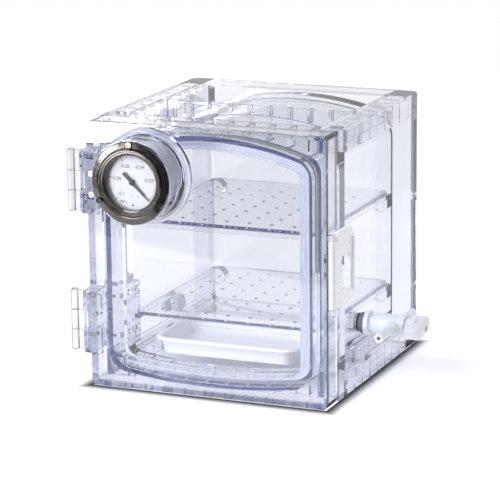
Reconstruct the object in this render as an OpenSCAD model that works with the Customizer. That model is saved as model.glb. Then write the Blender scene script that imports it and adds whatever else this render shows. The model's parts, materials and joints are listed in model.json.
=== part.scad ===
// Cabinet vacuum desiccator: a clear moulded cabinet with a hinged door, dial vacuum gauge,
// side latch, stopcock, two shelves and a tray.
// Shapes are drawn from the cabinet's lower left front corner (x right, y back, z up)
// and moved at the end so that the origin is the centre of the base.

/* [Cabinet] */
// Outside width, left to right
body_w = 253; // [247:1:262]
// Outside depth with the door shut
body_d = 264; // [262:1:290]
// Outside height
body_h = 270; // [268:1:282]
// Width of the chamber
chamber_w = 194; // [188:1:198]
// Thickness of the chamber wall
wall = 10; // [8:0.5:10]
// Rise of the arched chamber roof from its corners to its middle
roof_rise = 16.5; // [12:0.5:20]
// Sag of the arched chamber floor
floor_rise = 8; // [6:0.5:12]
// Radius of the chamber corners
corner_r = 10; // [8:0.5:14]
// Spacing of the stiffening ribs
rib_pitch = 22; // [20:0.5:26]
// Thickness of the stiffening ribs
rib_t = 3; // [2:0.5:4]

/* [Door] */
// Thickness of the whole door
door_t = 28; // [26:0.5:32]
// Thickness of the door's front plate
plate_t = 9; // [8:0.5:12]
// Width of the gasket
gasket_w = 5.5; // [4:0.5:7]

/* [Inside] */
// Height of the lower shelf's top face
lower_shelf_z = 70; // [66:1:84]
// Height of the upper shelf's top face
upper_shelf_z = 167; // [150:1:175]
// Thickness of a shelf
shelf_t = 4; // [3:0.5:5]
// Radius of the holes in a shelf
shelf_hole_r = 2; // [1.5:0.5:3]

/* [Gauge] */
// Distance of the gauge's centre from the left side
gauge_x = 66; // [60:1:80]
// Height of the gauge's centre
gauge_z = 220; // [200:1:221]
// Radius of the gauge's front flange
flange_r = 41; // [40:0.5:42]
// Depth of the boss that holds the gauge
boss_len = 38; // [38:0.5:44]

/* [Valve] */
// Distance of the valve's axis behind the door's front face
valve_y = 142; // [110:1:170]
// Height of the valve's axis
valve_z = 51; // [46:1:51]
// Turn of the handle away from the line of the hose spigots
handle_turn = 12; // [-20:1:20]
// Outside radius of a hose spigot
spigot_r = 4.75; // [4:0.25:5.5]

/* [Hidden] */

$fn = 72;
big = 400;                            // larger than the cabinet, for cutting planes
mating_gap = 0.6;                     // door back to cabinet face, closed by the gasket
cab_y0 = door_t + mating_gap;         // cabinet's front face
cab_y1 = body_d;                      // cabinet's back face
flange_t = 21.4;                      // front flange, front to back
rear_t = 21;                          // rear frame, front to back
back_y0 = body_d - 18;                // inside of the chamber's back wall
rail_w = 24;                          // top rails, seen from above
rail_h = 24;                          // top rails, height
foot_h = 26.7;                        // bottom rails, height
skin = 4;                             // thickness of the rails' plates
mid_y = 138;                          // front of the top cross ladder
mid_t = 10;                           // top cross ladder, front to back
keel_t = 16;                          // bottom cross beam, front to back
mid_x = body_w / 2;                   // middle plane of the cabinet
side_x = mid_x + chamber_w / 2 + wall; // outside of the right chamber wall

// chamber outline: straight sides, arched floor and roof
floor_z = 21.7;                       // lowest line of the chamber
roof_z = body_h - 21.5;               // highest line of the chamber
arc_r = [for (rise = [floor_rise, roof_rise]) (pow(chamber_w / 2, 2) + rise * rise) / (2 * rise)];
arc_z = [floor_z + arc_r[0], roof_z - arc_r[1]];
fillet_x = chamber_w / 2 - corner_r;
fillet_dz = [for (r = arc_r) sqrt(pow(r - corner_r, 2) - fillet_x * fillet_x)];
fillet_z = [arc_z[0] - fillet_dz[0], arc_z[1] + fillet_dz[1]];
fillet_a = [for (dz = fillet_dz) atan2(dz, fillet_x)]; // turn of each corner

// hinge
pin_x = -22;
pin_y = 10;
pin_r = 2;
knuckle_r = 4.5;
knuckle_h = 20;
knuckle_gap = 0.5;
hinge_h = 3 * knuckle_h + 2 * knuckle_gap;
leaf_t = 6;
web_t = 5;                            // web between a knuckle and its leaf
web_x = -7.5;                         // web's end on the cabinet leaf, clear of the door leaf
fin = 1.4;                            // small ribs across a web
leaf_z = [33.5, 177];                 // bottom of the lower and upper hinge
leaf_back = 34;                       // cabinet leaf, from the joint line to its back edge
run_gap = 0.05;                       // radial clearance of a turning pin
arbor_r = 0.85;                       // gauge arbors

// latch
latch_x = body_w + 4;                 // latch pin's axis
latch_y = 6;
latch_z0 = 100;
latch_h = 74;
latch_t = 6.8;
latch_gap = 0.6;
latch_back = cab_y0 + flange_t + 4;
window_y = 21;                        // window of the latch
window_w = 25;
window_rise = 15;
window_h = 34;
latch_pin_r = 1.5;
lug_h = 6;
lug_z = [latch_z0 - lug_h - 0.4, latch_z0 + latch_h - lug_h]; // bottom of each lug on the door
pin_z = [lug_z[0] + 1, lug_z[1] + lug_h - 1]; // ends of the latch pin

// gauge, measured forward from the door's front face
case_r = 33;
gear_z = 27.6;                        // middle of the gears
gear_t = 1.4;
link_z = 25.2;                        // back of the link
pointer_z = 34.9;                     // back of the pointer
module_mm = 0.5;                      // gear module
pinion_teeth = 12;
sector_teeth = 72;                    // teeth of the sector's full circle
pinion_r = module_mm * pinion_teeth / 2;
sector_r = module_mm * sector_teeth / 2;
centre_d = pinion_r + sector_r;       // pinion axis to sector axis
sector_back = 6;                      // sector arc past the line of centres, degrees
sector_ahead = 51;                    // and on the other side
tail_r = 5.5;                         // sector axis to the link's pin
tail_turn = 22.5;                     // direction of the tail at rest, and half its swing
stem_drop = 18;                       // stem below the gauge's centre
stem_r = 5;
dial_r = 29;
tube_r = 24;                          // middle radius of the bourdon tube
tube_tip = -14;                       // angle of the tube's closed end
tube_root = 258;                      // angle of its open end, inside the socket
tube_z = 15.5;                        // middle of the tube
pointer_turn = -45;                   // direction of the pointer at zero

// valve, measured outwards from the chamber wall's outside
stem_out_r = 6;
barrel_r = 11.5;
plug_r = 7;
spigot_at = 40;
spigot_end = 52;
bore_r = 2;

screw_r = 1.5;
leaf_screw_len = 12;
door_tab = 13;                        // door leaf's tab on the door's front, width and thickness
door_tab_t = 3;
ledge_y0 = 44;                        // shelf ledges start here
ledge_w = 6;
ledge_t = 4;
rest_r = 9;                           // round bosses under the back of a shelf
keeper_depth = 3;                     // keeper's pocket in the cabinet's side
keeper_y = 31;
keeper_w = 10;
barrel_end = 51;
handle_w = 14;
handle_l = 38;
handle_t = 19;                        // paddle's thickness along the valve's axis
tray_w = 150;
tray_d = 88;
tray_h = 18;
tray_y0 = 46;
back_plate_z = 23;                    // movement plates, from the door's front face
front_plate_z = 30;
clear_blue = [0.80, 0.84, 0.93, 0.35];

// moves a drawing from the cabinet's corner to the centre of its base
module seat() translate([-body_w / 2, -body_d / 2, 0]) children();

// a slab between two distances from the front, from an outline in x and z
module slab(y0, y1) translate([0, y1, 0]) rotate([90, 0, 0]) linear_extrude(y1 - y0) children();

// a plate lying flat between two heights
module plate(z0, z1) translate([0, 0, z0]) linear_extrude(z1 - z0) children();

module round_rect(w, h, r) {
    translate([r, 0]) square([w - 2 * r, h]);
    translate([0, r]) square([w, h - 2 * r]);
    for (x = [r, w - r], y = [r, h - r])
        translate([x, y]) circle(r = r);
}

module ring(r_out, r_in, h) {
    difference() {
        cylinder(r = r_out, h = h);
        translate([0, 0, -1]) cylinder(r = r_in, h = h + 2);
    }
}

// points along an arc; skip leaves out that many at each end, where its neighbours hold them
function arc(centre, r, from, to, steps, skip = 0) =
    [for (i = [skip : steps - skip]) let (a = from + (to - from) * i / steps) centre + r * [cos(a), sin(a)]];

// the chamber's outline, moved outwards by grow: side, fillet, arched roof, and round again
module chamber_outline(grow = 0) {
    r = corner_r + grow;
    polygon(concat(
        arc([mid_x + fillet_x, fillet_z[0]], r, -fillet_a[0], 0, 10),
        arc([mid_x + fillet_x, fillet_z[1]], r, 0, fillet_a[1], 10),
        arc([mid_x, arc_z[1]], arc_r[1] + grow, fillet_a[1], 180 - fillet_a[1], 36, 1),
        arc([mid_x - fillet_x, fillet_z[1]], r, 180 - fillet_a[1], 180, 10),
        arc([mid_x - fillet_x, fillet_z[0]], r, 180, 180 + fillet_a[0], 10),
        arc([mid_x, arc_z[0]], arc_r[0] + grow, 180 + fillet_a[0], 360 - fillet_a[0], 36, 1)
    ));
}

// the cells left between ribs, spread evenly about a middle
module cells(middle, span, low, high) {
    count = floor(span / rib_pitch);
    for (i = [0 : count - 1])
        translate([middle + (i - (count - 1) / 2) * rib_pitch - (rib_pitch - rib_t) / 2, low])
            square([rib_pitch - rib_t, high - low]);
}

// pockets that lighten a bar running over or under the chamber
module bar_pockets(y0, y1, skin_over) {
    slab(y0, y1) difference() {
        union() {
            cells(mid_x, body_w - 2 * rail_w, body_h - rail_h, body_h + 1);
            cells(mid_x, body_w - 2 * rail_w, -1, foot_h);
        }
        chamber_outline(wall + skin_over);
    }
}

// pockets that open the side rails downwards between their ribs, so that their outsides stay smooth
module rail_pockets() {
    span_y = cab_y1 - rear_t - cab_y0 - flange_t;
    w = mid_x - chamber_w / 2 - wall - skin - 1;
    for (x = [skin, body_w - skin - w], z = [0, body_h - rail_h])
        plate(z - 1, z + rail_h - skin) rotate(90)
            cells(cab_y0 + flange_t + span_y / 2, span_y, -x - w, -x);
}

// one long pocket over and one under the chamber, open at the back
module rear_pockets() {
    slab(cab_y1 - rear_t + 3, cab_y1 + 1) difference() {
        for (z = [skin, body_h - rail_h])
            translate([rail_w, z]) square([body_w - 2 * rail_w, rail_h - skin]);
        chamber_outline(wall + 3);
    }
}

module at_valve() translate([side_x, valve_y, valve_z]) rotate([0, 90, 0]) children();
module at_port() translate([body_w - side_x, valve_y, valve_z]) rotate([0, -90, 0]) children();
module at_gauge() translate([gauge_x, 0, gauge_z]) rotate([90, 0, 0]) children();

module leaf_screw_places(z0) {
    for (y = [cab_y0 + 11, cab_y0 + leaf_back - 7], z = [z0 + 10, z0 + hinge_h - 10])
        translate([0, y, z]) rotate([0, 90, 0]) children();
}

module keeper_screw_places() {
    for (z = [latch_z0 + 30, latch_z0 + 44])
        translate([body_w, keeper_y + keeper_w / 2, z]) rotate([0, 90, 0]) children();
}

// ledges and round bosses that carry the shelves
module shelf_rests() {
    for (z = [lower_shelf_z - shelf_t, upper_shelf_z - shelf_t], side = [-1, 1]) {
        translate([mid_x + side * (chamber_w / 2 - ledge_w / 2 + 0.5) - ledge_w / 2 - 0.5,
            ledge_y0, z - ledge_t])
            cube([ledge_w + 1, back_y0 + 1 - ledge_y0, ledge_t]);
        translate([mid_x + side * (chamber_w / 2 - rest_r + 1), back_y0 - 12, z - rest_r])
            rotate([-90, 0, 0]) cylinder(r = rest_r, h = 13);
    }
}

// a bar over the chamber, or the beam under it
module cross_bar(low, high) {
    difference() {
        translate([rail_w - 2, low]) square([body_w - 2 * rail_w + 4, high - low]);
        chamber_outline(wall / 2);
    }
}

module cabinet_shell() color(clear_blue) seat() {
    difference() {
        union() {
            slab(cab_y0, back_y0 + wall) chamber_outline(wall);
            slab(cab_y0, cab_y0 + flange_t) round_rect(body_w, body_h, 4);
            slab(cab_y1 - rear_t, cab_y1) difference() {
                round_rect(body_w, body_h, 4);
                translate([rail_w, foot_h]) square([body_w - 2 * rail_w, body_h - rail_h - foot_h]);
            }
            for (x = [0, body_w - rail_w]) {
                translate([x, cab_y0 + 5, body_h - rail_h]) cube([rail_w, cab_y1 - cab_y0 - 10, rail_h]);
                translate([x, cab_y0 + 5, 0]) cube([rail_w, cab_y1 - cab_y0 - 10, foot_h]);
            }
            for (z = leaf_z)
                translate([0, cab_y0 + flange_t - 1, z - 2])
                    cube([rail_w - 2, leaf_back - flange_t + 3, hinge_h + 4]);
            slab(mid_y, mid_y + mid_t) cross_bar(body_h - 2 * rail_h, body_h - 2);
            slab((body_d - keel_t) / 2, (body_d + keel_t) / 2) cross_bar(0, 2 * foot_h);
        }
        slab(cab_y0 - 1, back_y0) chamber_outline();
        bar_pockets(cab_y0 + 3, cab_y0 + flange_t - 3, 3);
        rear_pockets();
        bar_pockets(mid_y - 1, mid_y + mid_t / 2 - 1.5, 1);
        bar_pockets(mid_y + mid_t / 2 + 1.5, mid_y + mid_t + 1, 1);
        rail_pockets();
        at_valve() translate([0, 0, -wall - 1]) cylinder(r = stem_out_r, h = wall + 2);
        at_port() translate([0, 0, -wall - 1]) cylinder(r = stem_out_r, h = wall + 2);
        for (z0 = leaf_z)
            leaf_screw_places(z0) cylinder(r = screw_r, h = leaf_screw_len);
        keeper_screw_places() translate([0, 0, -8]) cylinder(r = screw_r, h = 9);
        translate([body_w - keeper_depth, keeper_y, latch_z0 + 24])
            cube([keeper_depth + 1, keeper_w, latch_h - 48]);
    }
    shelf_rests();
}

module shelf(top_z) color(clear_blue) seat() {
    w = chamber_w - 4;
    y0 = ledge_y0 - 4;
    d = back_y0 - 1.5 - y0;
    pitch = 24;
    rows = floor((d - 30) / pitch);
    cols = floor((w - 24) / pitch);
    difference() {
        union() {
            plate(top_z - shelf_t, top_z)
                translate([mid_x - w / 2, y0]) round_rect(w, d, 8);
            translate([mid_x - w / 2 + 9, y0 + 1.5, top_z - shelf_t - 5]) cube([w - 18, shelf_t - 1, 6]);
        }
        for (i = [0 : cols], j = [0 : rows])
            translate([mid_x + (i - cols / 2) * pitch, y0 + d / 2 + (j - rows / 2) * pitch, 0])
                plate(top_z - shelf_t - 1, top_z + 1) circle(r = shelf_hole_r, $fn = 24);
    }
}

module lower_shelf() shelf(lower_shelf_z);
module upper_shelf() shelf(upper_shelf_z);

// shallow tray with a rolled rim, standing on the arched floor
module desiccant_tray() color("white") seat() {
    base_z = floor_z + arc_r[0] - sqrt(pow(arc_r[0], 2) - pow(tray_w / 2 - 4, 2)) + 0.3;
    rim = 4;
    translate([mid_x - tray_w / 2, tray_y0, 0]) difference() {
        union() {
            plate(base_z + 2, base_z + tray_h - 2) round_rect(tray_w, tray_d, 16);
            plate(base_z, base_z + 3) translate([4, 4]) round_rect(tray_w - 8, tray_d - 8, 13);
            plate(base_z + tray_h - 4, base_z + tray_h)
                translate([-rim, -rim]) round_rect(tray_w + 2 * rim, tray_d + 2 * rim, 19);
        }
        plate(base_z + 2.2, base_z + tray_h + 1) translate([2, 2]) round_rect(tray_w - 4, tray_d - 4, 14);
        plate(base_z + tray_h - 5, base_z + tray_h - 1.6) difference() {
            translate([-rim + 1.6, -rim + 1.6])
                round_rect(tray_w + 2 * rim - 3.2, tray_d + 2 * rim - 3.2, 17.4);
            round_rect(tray_w, tray_d, 16);
        }
    }
}

// knuckle, the web that joins it to its leaf, and small ribs across the web
module hinge_knuckle(z, to_x, fins) {
    translate([pin_x, pin_y, z]) cylinder(r = knuckle_r, h = knuckle_h);
    translate([pin_x, pin_y - web_t / 2, z]) cube([to_x - pin_x, web_t, knuckle_h]);
    for (at = fins)
        translate([pin_x + knuckle_r - 0.5, pin_y - web_t / 2 - 1.5, z + at])
            cube([to_x - pin_x - knuckle_r + 0.5, 2, fin]);
}

// cabinet half of a hinge: lower and upper knuckle, arms and a plate on the side
module hinge_cabinet_leaf(z0) color(clear_blue) seat() {
    block_y = cab_y0 - 0.2;
    z_top = z0 + 2 * (knuckle_h + knuckle_gap);
    difference() {
        union() {
            hinge_knuckle(z0, web_x, [4, knuckle_h - 4 - fin]);
            hinge_knuckle(z_top, web_x, [4, knuckle_h - 4 - fin]);
            for (z = [z0, z_top]) {
                translate([web_x - leaf_t, pin_y, z]) cube([leaf_t, block_y - pin_y + 1, knuckle_h]);
                translate([web_x - leaf_t, block_y, z]) cube([leaf_t - web_x, 7, knuckle_h]);
            }
            translate([-leaf_t, block_y, z0]) cube([leaf_t, leaf_back, hinge_h]);
            for (z = [z0 + knuckle_h - 3, z_top])
                translate([-leaf_t - 4, block_y + 6, z]) cube([5, leaf_back - 12, 3]);
        }
        translate([pin_x, pin_y, z0 - 1]) cylinder(r = pin_r, h = hinge_h + 2);
        leaf_screw_places(z0) translate([0, 0, -big / 8]) cylinder(r = screw_r, h = big / 4);
    }
}

// door half: the middle knuckle, a plate on the door's edge and a tab on its front
module hinge_door_leaf(z0) color(clear_blue) seat() {
    z1 = z0 + knuckle_h + knuckle_gap;
    difference() {
        union() {
            hinge_knuckle(z1, 1 - leaf_t, [4, knuckle_h - 4 - fin]);
            translate([-leaf_t, -door_tab_t, z0]) cube([leaf_t, door_t + door_tab_t - 2, hinge_h]);
            translate([-leaf_t, -door_tab_t, z0]) cube([leaf_t + door_tab, door_tab_t, hinge_h]);
        }
        translate([pin_x, pin_y, z1 - 1]) cylinder(r = pin_r + run_gap, h = knuckle_h + 2);
        door_leaf_screw_places(z0) translate([0, 0, -big / 8]) cylinder(r = screw_r, h = big / 4);
    }
}

module door_leaf_screw_places(z0)
    for (z = [z0 + knuckle_h, z0 + hinge_h - knuckle_h])
        translate([door_tab / 2, 0, z]) rotate([-90, 0, 0]) children();

module upper_hinge_cabinet_leaf() hinge_cabinet_leaf(leaf_z[1]);
module lower_hinge_cabinet_leaf() hinge_cabinet_leaf(leaf_z[0]);
module upper_hinge_door_leaf() hinge_door_leaf(leaf_z[1]);
module lower_hinge_door_leaf() hinge_door_leaf(leaf_z[0]);

module hinge_pin(z0) color(clear_blue) seat()
    translate([pin_x, pin_y, z0 - 0.5]) {
        cylinder(r = pin_r, h = hinge_h + 1);
        translate([0, 0, -1]) cylinder(r = pin_r + 1, h = 1);
        translate([0, 0, hinge_h + 1]) cylinder(r = pin_r + 1, h = 1);
    }
module upper_hinge_pin() hinge_pin(leaf_z[1]);
module lower_hinge_pin() hinge_pin(leaf_z[0]);

// cross-recessed screw, head at z below 0 and shank along +z
module screw(head_r, shank_len, grip) {
    difference() {
        union() {
            translate([0, 0, -grip - 1.8]) cylinder(r = head_r, h = 1.8);
            translate([0, 0, -grip]) cylinder(r = screw_r, h = grip + shank_len);
        }
        for (turn = [0, 90])
            rotate([0, 0, turn]) translate([-head_r * 0.6, -0.4, -grip - 1.9]) cube([head_r * 1.2, 0.8, 1]);
    }
}

module cabinet_hinge_screws() color("dimgray") seat()
    for (z0 = leaf_z)
        leaf_screw_places(z0) screw(3, leaf_screw_len, leaf_t);

module door_hinge_screws() color("dimgray") seat()
    for (z0 = leaf_z)
        door_leaf_screw_places(z0) screw(3, plate_t - 2, door_tab_t);

// striker let into the cabinet's side under the latch's window
module latch_keeper() color(clear_blue) seat() difference() {
    translate([body_w - keeper_depth, keeper_y, latch_z0 + 24])
        cube([keeper_depth + 0.3, keeper_w, latch_h - 48]);
    keeper_screw_places() translate([0, 0, -big / 8]) cylinder(r = screw_r, h = big / 4);
    keeper_screw_places() translate([0, 0, -1.5]) cylinder(r = 2.6, h = 3);
}

module keeper_screws() color("dimgray") seat()
    keeper_screw_places() mirror([0, 0, 1]) screw(2.4, 8, -1.5);

// stopcock: threaded stem, wall flange, barrel and two hose spigots
module valve_body() color([0.93, 0.95, 0.97]) seat() at_valve() difference() {
    union() {
        translate([0, 0, -wall - 12]) cylinder(r = stem_out_r, h = wall + 21);
        translate([0, 0, 8.5]) cylinder(r = 13, h = 4.5);
        translate([0, 0, 12]) cylinder(r = 9.5, h = 8);
        translate([0, 0, 19]) cylinder(r = barrel_r, h = barrel_end - 19);
        for (side = [-1, 1])
            translate([0, 0, spigot_at]) rotate([side * -90, 0, 0]) {
                cylinder(r = spigot_r + 1.8, h = barrel_r + 6);
                cylinder(r = spigot_r, h = spigot_end);
            }
    }
    translate([0, 0, 26]) cylinder(r = plug_r, h = barrel_end);
    translate([0, 0, -big / 4]) cylinder(r = bore_r, h = big / 4 + 27);
    translate([0, big / 4, spigot_at]) rotate([90, 0, 0]) cylinder(r = bore_r, h = big / 2);
}

module valve_seal() color("dimgray") seat() at_valve() ring(9.5, stem_out_r, 2.5);
module valve_lock_nut() color("dimgray") seat() at_valve() translate([0, 0, 2.5]) grooved_nut(10.5, 6);
module valve_inner_nut() color("white") seat() at_valve()
    translate([0, 0, -wall - 8]) hex_nut(10, stem_out_r, 8);

module grooved_nut(r, h) {
    difference() {
        ring(r, stem_out_r, h);
        for (turn = [0 : 30 : 330])
            rotate([0, 0, turn]) translate([r + 0.6, 0, -1]) cylinder(r = 1.4, h = h + 2, $fn = 24);
    }
}

module hex_nut(r, hole_r, h) {
    difference() {
        cylinder(r = r, h = h, $fn = 6);
        translate([0, 0, -1]) cylinder(r = hole_r, h = h + 2);
    }
}

// blanking plug in the matching hole of the left wall
module port_plug() color([0.62, 0.70, 0.80]) seat() at_port() {
    translate([0, 0, -wall - 10]) cylinder(r = stem_out_r, h = wall + 12.5);
    difference() {
        translate([0, 0, 2.5]) cylinder(r = 11, h = 5);
        translate([0, 0, 5]) ring(8.5, 4, 3);
    }
}
module port_seal() color("dimgray") seat() at_port() ring(9.5, stem_out_r, 2.5);
module port_nut() color([0.62, 0.70, 0.80]) seat() at_port()
    translate([0, 0, -wall - 8]) hex_nut(10, stem_out_r, 8);

// turning key of the stopcock, cross-drilled along the spigots
module valve_plug() color("white") seat() at_valve() rotate([0, 0, handle_turn]) difference() {
    union() {
        translate([0, 0, 26.2]) cylinder(r = plug_r - run_gap, h = barrel_end - 26);
        translate([0, 0, barrel_end + 0.2]) cylinder(r = 9, h = 2.4);
        translate([-4, -4, barrel_end + 2]) cube([8, 8, 12]);
    }
    translate([0, 0, 20]) cylinder(r = bore_r, h = spigot_at - 20);
    translate([0, big / 4, spigot_at]) rotate([90, 0, 0]) cylinder(r = bore_r, h = big / 2);
    translate([0, 0, barrel_end + 6]) cylinder(r = screw_r, h = big / 4);
}

// paddle handle with rounded ends and a hub
module valve_handle() color("white") seat() at_valve() rotate([0, 0, handle_turn])
    translate([0, 0, barrel_end + 2.6]) difference() {
        union() {
            linear_extrude(handle_t - 2) paddle(handle_w, handle_l);
            translate([0, 0, handle_t - 3]) linear_extrude(3) paddle(handle_w - 3, handle_l - 3);
            cylinder(r = 9.5, h = 9);
        }
        translate([-4, -4, -1]) cube([8, 8, 12.4]);
        cylinder(r = screw_r, h = handle_t + 1);
        translate([0, 0, handle_t - 3]) cylinder(r = 3.2, h = 4);
    }

module paddle(w, l) translate([-w / 2, -l / 2]) round_rect(w, l, w / 2 - 0.1);

module handle_screw() color("silver") seat() at_valve() translate([0, 0, barrel_end + 2.6])
    mirror([0, 0, 1]) screw(3, -3.6, handle_t - 3);

// door: front plate, rim, seat for the gasket, gauge boss and latch lugs
module door_panel() color(clear_blue) seat() difference() {
    union() {
        slab(0, plate_t) round_rect(body_w, body_h, 4);
        slab(plate_t - 1, door_t) difference() {
            union() {
                difference() {
                    round_rect(body_w, body_h, 4);
                    translate([5, 5]) square([body_w - 10, body_h - 10]);
                }
                chamber_outline(13);
            }
            chamber_outline();
        }
        at_gauge() gauge_boss();
        for (z = lug_z) {
            translate([latch_x, latch_y, z]) cylinder(r = 3, h = lug_h);
            translate([body_w - 1, latch_y - 3, z]) cube([latch_x - body_w + 1, 6, lug_h]);
        }
    }
    slab(door_t - 2, door_t + 1) difference() {
        chamber_outline(gasket_w + 0.2);
        chamber_outline(-1);
    }
    at_gauge() {
        translate([0, -stem_drop, -plate_t - 1]) cylinder(r = stem_r + 0.2, h = plate_t + 2);
        flange_screw_places() translate([0, 0, boss_len - 10]) cylinder(r = screw_r, h = 11);
    }
    translate([latch_x, latch_y, pin_z[0]]) cylinder(r = latch_pin_r, h = pin_z[1] - pin_z[0]);
    for (z0 = leaf_z)
        door_leaf_screw_places(z0) cylinder(r = screw_r, h = plate_t - 2);
}

module gauge_boss() {
    wall_in = case_r + 1.2;
    rotate_extrude(convexity = 6, $fn = 144)
        polygon([[wall_in, -1], [48, -1], [48, 3.5], [46.6, 5], [44, 7], [42, 11],
            [42, boss_len], [wall_in, boss_len]]);
}

module flange_screw_places()
    for (turn = [90, 210, 330])
        rotate([0, 0, turn]) translate([(case_r + flange_r) / 2 + 1, 0, 0]) children();

// soft ring in the door's groove, standing proud to meet the cabinet
module door_gasket() color([0.93, 0.94, 0.95]) seat() {
    slab(door_t - 2, door_t) gasket_outline(0.2, gasket_w);
    slab(door_t, cab_y0) gasket_outline(1, gasket_w - 0.8);
}

module gasket_outline(inner, outer) {
    difference() {
        chamber_outline(outer);
        chamber_outline(inner);
    }
}

module latch_pin() color("white") seat()
    translate([latch_x, latch_y, pin_z[0]]) cylinder(r = latch_pin_r, h = pin_z[1] - pin_z[0]);

// lever with a window, a barrel round its pin and a hook behind the cabinet's flange
module latch_lever() color("white") seat() difference() {
    union() {
        translate([latch_x, latch_y, latch_z0]) cylinder(r = 3.4, h = latch_h);
        translate([body_w + latch_gap, 0, 0]) rotate([90, 0, 90]) linear_extrude(latch_t) difference() {
            translate([latch_y, latch_z0]) round_rect(latch_back - latch_y, latch_h, 6);
            translate([window_y, latch_z0 + window_rise]) round_rect(window_w, window_h, 4);
        }
        translate([latch_x - 3.4, latch_y, latch_z0]) cube([6.8, 8, latch_h]);
        translate([body_w + latch_gap + latch_t - 1, latch_back, latch_z0 + 10]) rotate([90, 0, 0])
            linear_extrude(4) translate([-1, 0]) round_rect(4, latch_h - 20, 1.5);
    }
    for (z = lug_z)
        translate([body_w - 1, 0, z - 0.4]) cube([big, latch_y + 4, lug_h + 0.8]);
    translate([latch_x, latch_y, latch_z0 - 1]) cylinder(r = latch_pin_r + run_gap, h = latch_h + 2);
}

// round case of the gauge, open at the front
module gauge_case() color("lightgray") seat() at_gauge() difference() {
    translate([0, 0, 3]) cylinder(r = case_r, h = 31);
    translate([0, 0, 4.2]) cylinder(r = case_r - 1.4, h = 31);
    translate([0, -stem_drop, 2]) cylinder(r = stem_r + 0.2, h = 4);
}

module gauge_flange() color([0.25, 0.25, 0.27]) seat() at_gauge() difference() {
    rotate_extrude($fn = 144)
        polygon([[case_r + 0.6, boss_len], [flange_r, boss_len], [flange_r, boss_len + 1.6],
            [flange_r - 1, boss_len + 2.4], [case_r + 1.8, boss_len + 3], [case_r + 0.6, boss_len + 2.4]]);
    flange_screw_places() cylinder(r = screw_r + 0.2, h = big);
}

module gauge_flange_screws() color("silver") seat() at_gauge()
    flange_screw_places() translate([0, 0, boss_len]) mirror([0, 0, 1]) screw(2.9, 10, 2.9);

module gauge_bezel() color([0.15, 0.15, 0.16]) seat() at_gauge()
    rotate_extrude($fn = 144)
        polygon([[31.2, 34], [33.4, 34], [33.4, 41.6], [32.6, 42.6], [31.6, 42.6], [30.9, 41.4], [29.6, 41.4],
            [28.9, 40.4], [27.6, 39.8], [27, 39], [27, 38.6], [31.2, 38.6]]);

module gauge_lens() color([0.9, 0.95, 1, 0.2]) seat() at_gauge()
    translate([0, 0, 36.8]) cylinder(r = 31, h = 1.8, $fn = 144);

module dial_plate() color("white") seat() at_gauge() difference() {
    translate([0, 0, 33]) cylinder(r = dial_r, h = 0.8, $fn = 144);
    translate([0, 0, 32]) cylinder(r = 2.4, h = 3);
    dial_screw_places() cylinder(r = 0.8, h = big);
}

module dial_screw_places()
    for (x = [-4.5, 4.5])
        translate([x, -14, 0]) children();

module dial_screws() color("dimgray") seat() at_gauge()
    dial_screw_places() {
        translate([0, 0, front_plate_z + 1.2]) cylinder(r = 0.8, h = 33.8 - front_plate_z - 1.2, $fn = 24);
        translate([0, 0, 33.8]) cylinder(r = 1.3, h = 0.6, $fn = 24);
    }

// block that carries the tube and the movement, with the threaded stem behind it
module gauge_socket() color("darkgoldenrod") seat() at_gauge() difference() {
    union() {
        translate([0, -stem_drop, -22]) cylinder(r = stem_r, h = 28);
        translate([-7, -stem_drop - 8, 4.2]) cube([14, 12, back_plate_z - 4.2]);
    }
    translate([0, -stem_drop, -23]) cylinder(r = bore_r, h = 23 + tube_z);
    translate([0, -stem_drop, tube_z]) rotate([0, 90, -135]) cylinder(r = 1, h = 7);
    tube_sweep(90, 1, 3.4);
}

// C-shaped tube of flat section from its closed tip round to the socket
module tube_sweep(from, r, half) {
    rotate([0, 0, from]) rotate_extrude(angle = tube_root - from, $fn = 144)
        translate([tube_r, tube_z]) tube_section(r, half);
}

module tube_section(r, half) {
    translate([-r, -half + r]) square([2 * r, 2 * (half - r)]);
    for (y = [-half + r, half - r])
        translate([0, y]) circle(r = r, $fn = 24);
}

module bourdon_tube() color("goldenrod") seat() at_gauge() {
    difference() {
        tube_sweep(tube_tip, 1, 3.4);
        tube_sweep(tube_tip + 2, 0.6, 2.9);
    }
    rotate([0, 0, tube_tip - 6]) translate([tube_r - 1.5, 0, tube_z - 3.4])
        cube([3, 2.8, link_z - tube_z + 3.4]);
}

// link from the tube's tip to the sector's tail, slotted where its pin travels
module tip_link() color("goldenrod") seat() at_gauge() translate([0, 0, link_z]) {
    slot_x = tail_r * (1 + cos(tail_turn)) / 2;
    travel = 2 * tail_r * sin(tail_turn);
    slot_w = 2.2;
    slot_l = travel + 2;
    tip = tube_r * [cos(tube_tip - 3), sin(tube_tip - 3)];
    root = [slot_x + slot_w, -centre_d + 1];
    linear_extrude(1) {
        difference() {
            translate([slot_x - slot_w, -centre_d - slot_l / 2 - 1.2])
                round_rect(2 * slot_w, slot_l + 2.4, 2);
            translate([slot_x - slot_w / 2, -centre_d - slot_l / 2]) round_rect(slot_w, slot_l, 1);
        }
        translate(root) rotate(atan2(tip[1] - root[1], tip[0] - root[0]))
            translate([-1, -0.9]) square([norm(tip - root) + 1, 1.8]);
        translate(tip) circle(r = 2);
    }
}

module movement_plate(z) difference() {
    translate([-8, -28.5, z]) linear_extrude(1) round_rect(16, 38, 3);
    for (y = [0, -centre_d])
        translate([0, y, z - 1]) cylinder(r = arbor_r + run_gap, h = 3, $fn = 36);
}

module movement_front_plate() color("goldenrod") seat() at_gauge() movement_plate(front_plate_z);
module movement_back_plate() color("goldenrod") seat() at_gauge() movement_plate(back_plate_z);

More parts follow.
